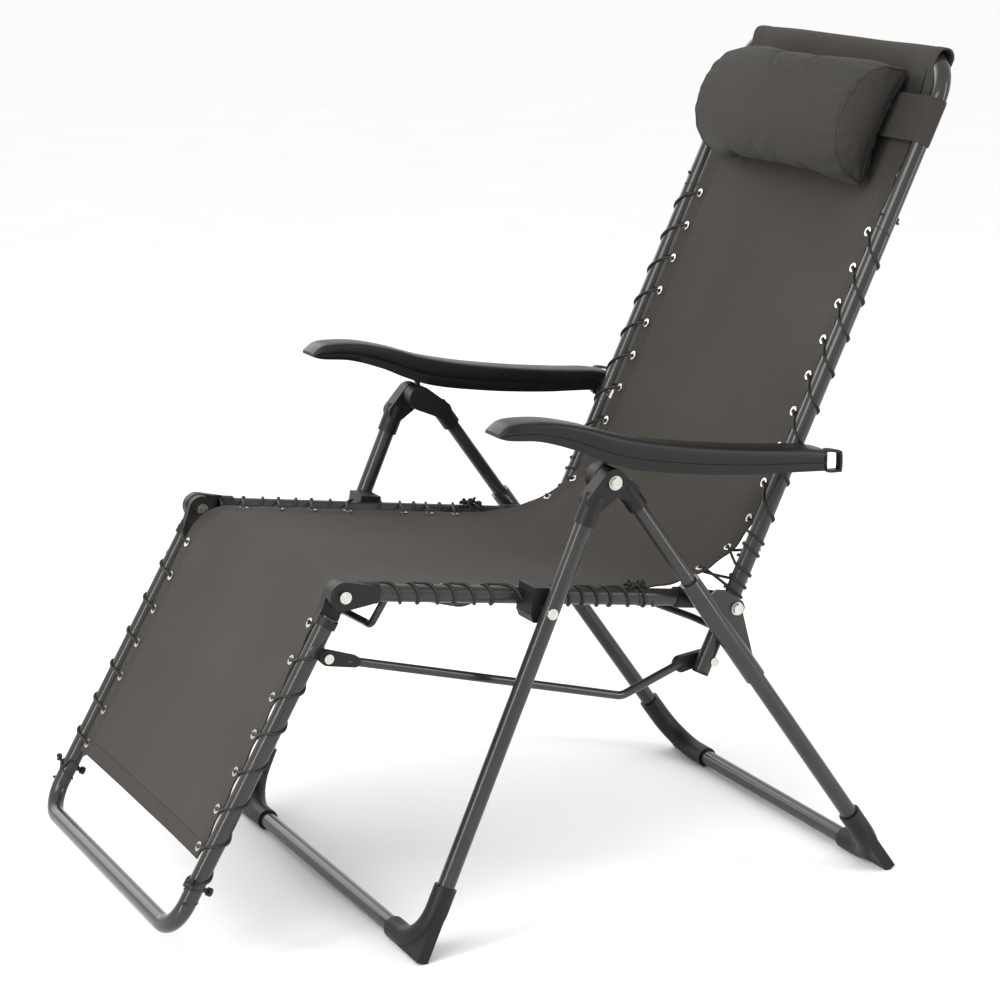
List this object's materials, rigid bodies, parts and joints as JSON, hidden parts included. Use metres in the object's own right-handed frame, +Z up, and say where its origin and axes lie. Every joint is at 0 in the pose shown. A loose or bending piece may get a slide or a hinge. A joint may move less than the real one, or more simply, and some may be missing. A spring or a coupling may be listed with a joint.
{
  "type": "zero gravity recliner",
  "caption": "Folding reclining garden chair: laced fabric sling on tubular frames, linked back and footrest, scissor legs, plastic armrests and a head pillow",
  "frame": {"origin": "centre of the footprint box on the floor", "axes": "+Z up, the sitter faces -Y, +X is the sitter's left"},
  "size_m": [0.64, 1.1028, 1.0812],
  "materials": {
    "frame_tube": "glossy anthracite powder coat",
    "black_plastic": "satin moulded nylon",
    "arm_plastic": "satin moulded polypropylene",
    "sling_fabric": "tight woven coated textile, dark warm grey",
    "pillow_fabric": "tight woven textile, dark warm grey",
    "elastic_cord": "black braided elastic cord",
    "zinc": "zinc plated"
  },
  "bodies": {
    "seat_frame": {"seat_rail_left": "frame_tube", "seat_rail_right": "frame_tube", "knee_knuckle_seats": "black_plastic", "seat_rear_fittings": "black_plastic", "seat_front_bar": "frame_tube", "leg_pivot_blocks": "black_plastic", "sling_seat": "sling_fabric", "seat_eyelets": "zinc", "seat_cords": "elastic_cord"},
    "front_legs": {"front_leg_left": "frame_tube", "front_leg_right": "frame_tube", "front_cross_tube": "frame_tube", "front_foot_left": "black_plastic", "front_foot_right": "black_plastic", "apex_hubs": "black_plastic", "apex_bolts": "zinc", "leg_pivot_rivets": "zinc"},
    "rear_legs": {"rear_leg_left": "frame_tube", "rear_leg_right": "frame_tube", "rear_cross_tube": "frame_tube", "rear_foot_left": "black_plastic", "rear_foot_right": "black_plastic", "slide_sleeves": "frame_tube", "hinge_gussets": "frame_tube"},
    "struts": {"rear_strut_left": "frame_tube", "rear_strut_right": "frame_tube", "strut_heads": "black_plastic", "rest_pegs": "black_plastic"},
    "hip_pins": {"hip_bolts": "zinc"},
    "backrest": {"back_rail_left": "frame_tube", "back_rail_right": "frame_tube", "back_top_tube": "frame_tube", "back_tail_caps": "black_plastic", "back_lower_bar": "frame_tube", "sling_back": "sling_fabric", "back_eyelets": "zinc", "back_cords": "elastic_cord", "sling_top_sleeve": "sling_fabric", "pillow": "pillow_fabric", "pillow_strap": "pillow_fabric"},
    "knee_pins": {"knee_bolts": "zinc"},
    "footrest": {"foot_rail_left": "frame_tube", "foot_rail_right": "frame_tube", "foot_cross_tube": "frame_tube", "knee_knuckle_foots": "black_plastic", "link_lugs": "frame_tube", "link_bolt_fronts": "zinc", "cord_pegs": "black_plastic", "sling_foot": "sling_fabric", "foot_eyelets": "zinc", "foot_cords": "elastic_cord"},
    "link_pins": {"link_bolt_rears": "zinc"},
    "links": {"link_rod_left": "frame_tube", "link_rod_right": "frame_tube", "link_end_fronts": "black_plastic", "link_end_rears": "black_plastic"},
    "arm_pins": {"arm_bolts": "zinc"},
    "arm_spacers": {"arm_washers": "black_plastic"},
    "arm_left": {"armrest_left": "arm_plastic"},
    "arm_right": {"armrest_right": "arm_plastic"}
  },
  "joints": [
    {"name": "fold", "type": "hinge", "parent": "seat_frame", "child": "front_legs", "pos_m": [0, -0.06635, 0.423], "axis": [1, 0, 0], "range_deg": [0, 80]},
    {"name": "rear_leg_swing", "type": "hinge", "parent": "seat_frame", "child": "rear_legs", "pos_m": [0, 0.21865, 0.385], "axis": [1, 0, 0], "range_deg": [0, 28.65]},
    {"name": "strut_slide", "type": "slide", "parent": "rear_legs", "child": "struts", "axis": [0, -0.5819, 0.8133], "range_m": [0, 0.17308]},
    {"name": "hip_fold", "type": "hinge", "parent": "seat_frame", "child": "hip_pins", "pos_m": [0, 0.21865, 0.385], "axis": [1, 0, 0], "range_deg": [0, 62.01]},
    {"name": "recline", "type": "hinge", "parent": "hip_pins", "child": "backrest", "pos_m": [0, 0.21865, 0.385], "axis": [-1, 0, 0], "range_deg": [0, 36]},
    {"name": "knee_fold", "type": "hinge", "parent": "seat_frame", "child": "knee_pins", "pos_m": [0, -0.31835, 0.462], "axis": [1, 0, 0], "range_deg": [0, 62.01]},
    {"name": "footrest_lift", "type": "hinge", "parent": "knee_pins", "child": "footrest", "pos_m": [0, -0.31835, 0.462], "axis": [-1, 0, 0], "range_deg": [0, 36]},
    {"name": "link_fold", "type": "hinge", "parent": "backrest", "child": "link_pins", "pos_m": [0, 0.193, 0.31452], "axis": [1, 0, 0], "range_deg": [-62.01, 0]},
    {"name": "link_swing", "type": "hinge", "parent": "link_pins", "child": "links", "pos_m": [0, 0.193, 0.31452], "axis": [-1, 0, 0], "range_deg": [-36, 0]},
    {"name": "arm_fold", "type": "hinge", "parent": "backrest", "child": "arm_pins", "pos_m": [0, 0.30349, 0.56611], "axis": [1, 0, 0], "range_deg": [-65.01, 0]},
    {"name": "arm_follow", "type": "hinge", "parent": "arm_pins", "child": "arm_spacers", "pos_m": [0, 0.30349, 0.56611], "axis": [-1, 0, 0], "range_deg": [-28.8, 0]},
    {"name": "armrest_left_lift", "type": "hinge", "parent": "arm_spacers", "child": "arm_left", "pos_m": [0, 0.30349, 0.56611], "axis": [-1, 0, 0], "range_deg": [0, 50]},
    {"name": "armrest_right_lift", "type": "hinge", "parent": "arm_spacers", "child": "arm_right", "pos_m": [0, 0.30349, 0.56611], "axis": [-1, 0, 0], "range_deg": [0, 50]}
  ],
  "couplings": [
    {"joint": "rear_leg_swing", "follows": "fold", "ratio": 0.35796},
    {"joint": "strut_slide", "follows": "fold", "m_per_rad": 0.1236},
    {"joint": "hip_fold", "follows": "fold", "ratio": 0.775},
    {"joint": "knee_fold", "follows": "fold", "ratio": 0.775},
    {"joint": "link_fold", "follows": "fold", "ratio": -0.775},
    {"joint": "arm_fold", "follows": "fold", "ratio": -0.8125},
    {"joint": "footrest_lift", "follows": "recline", "ratio": 1},
    {"joint": "link_swing", "follows": "recline", "ratio": -1},
    {"joint": "arm_follow", "follows": "recline", "ratio": -0.8}
  ]
}
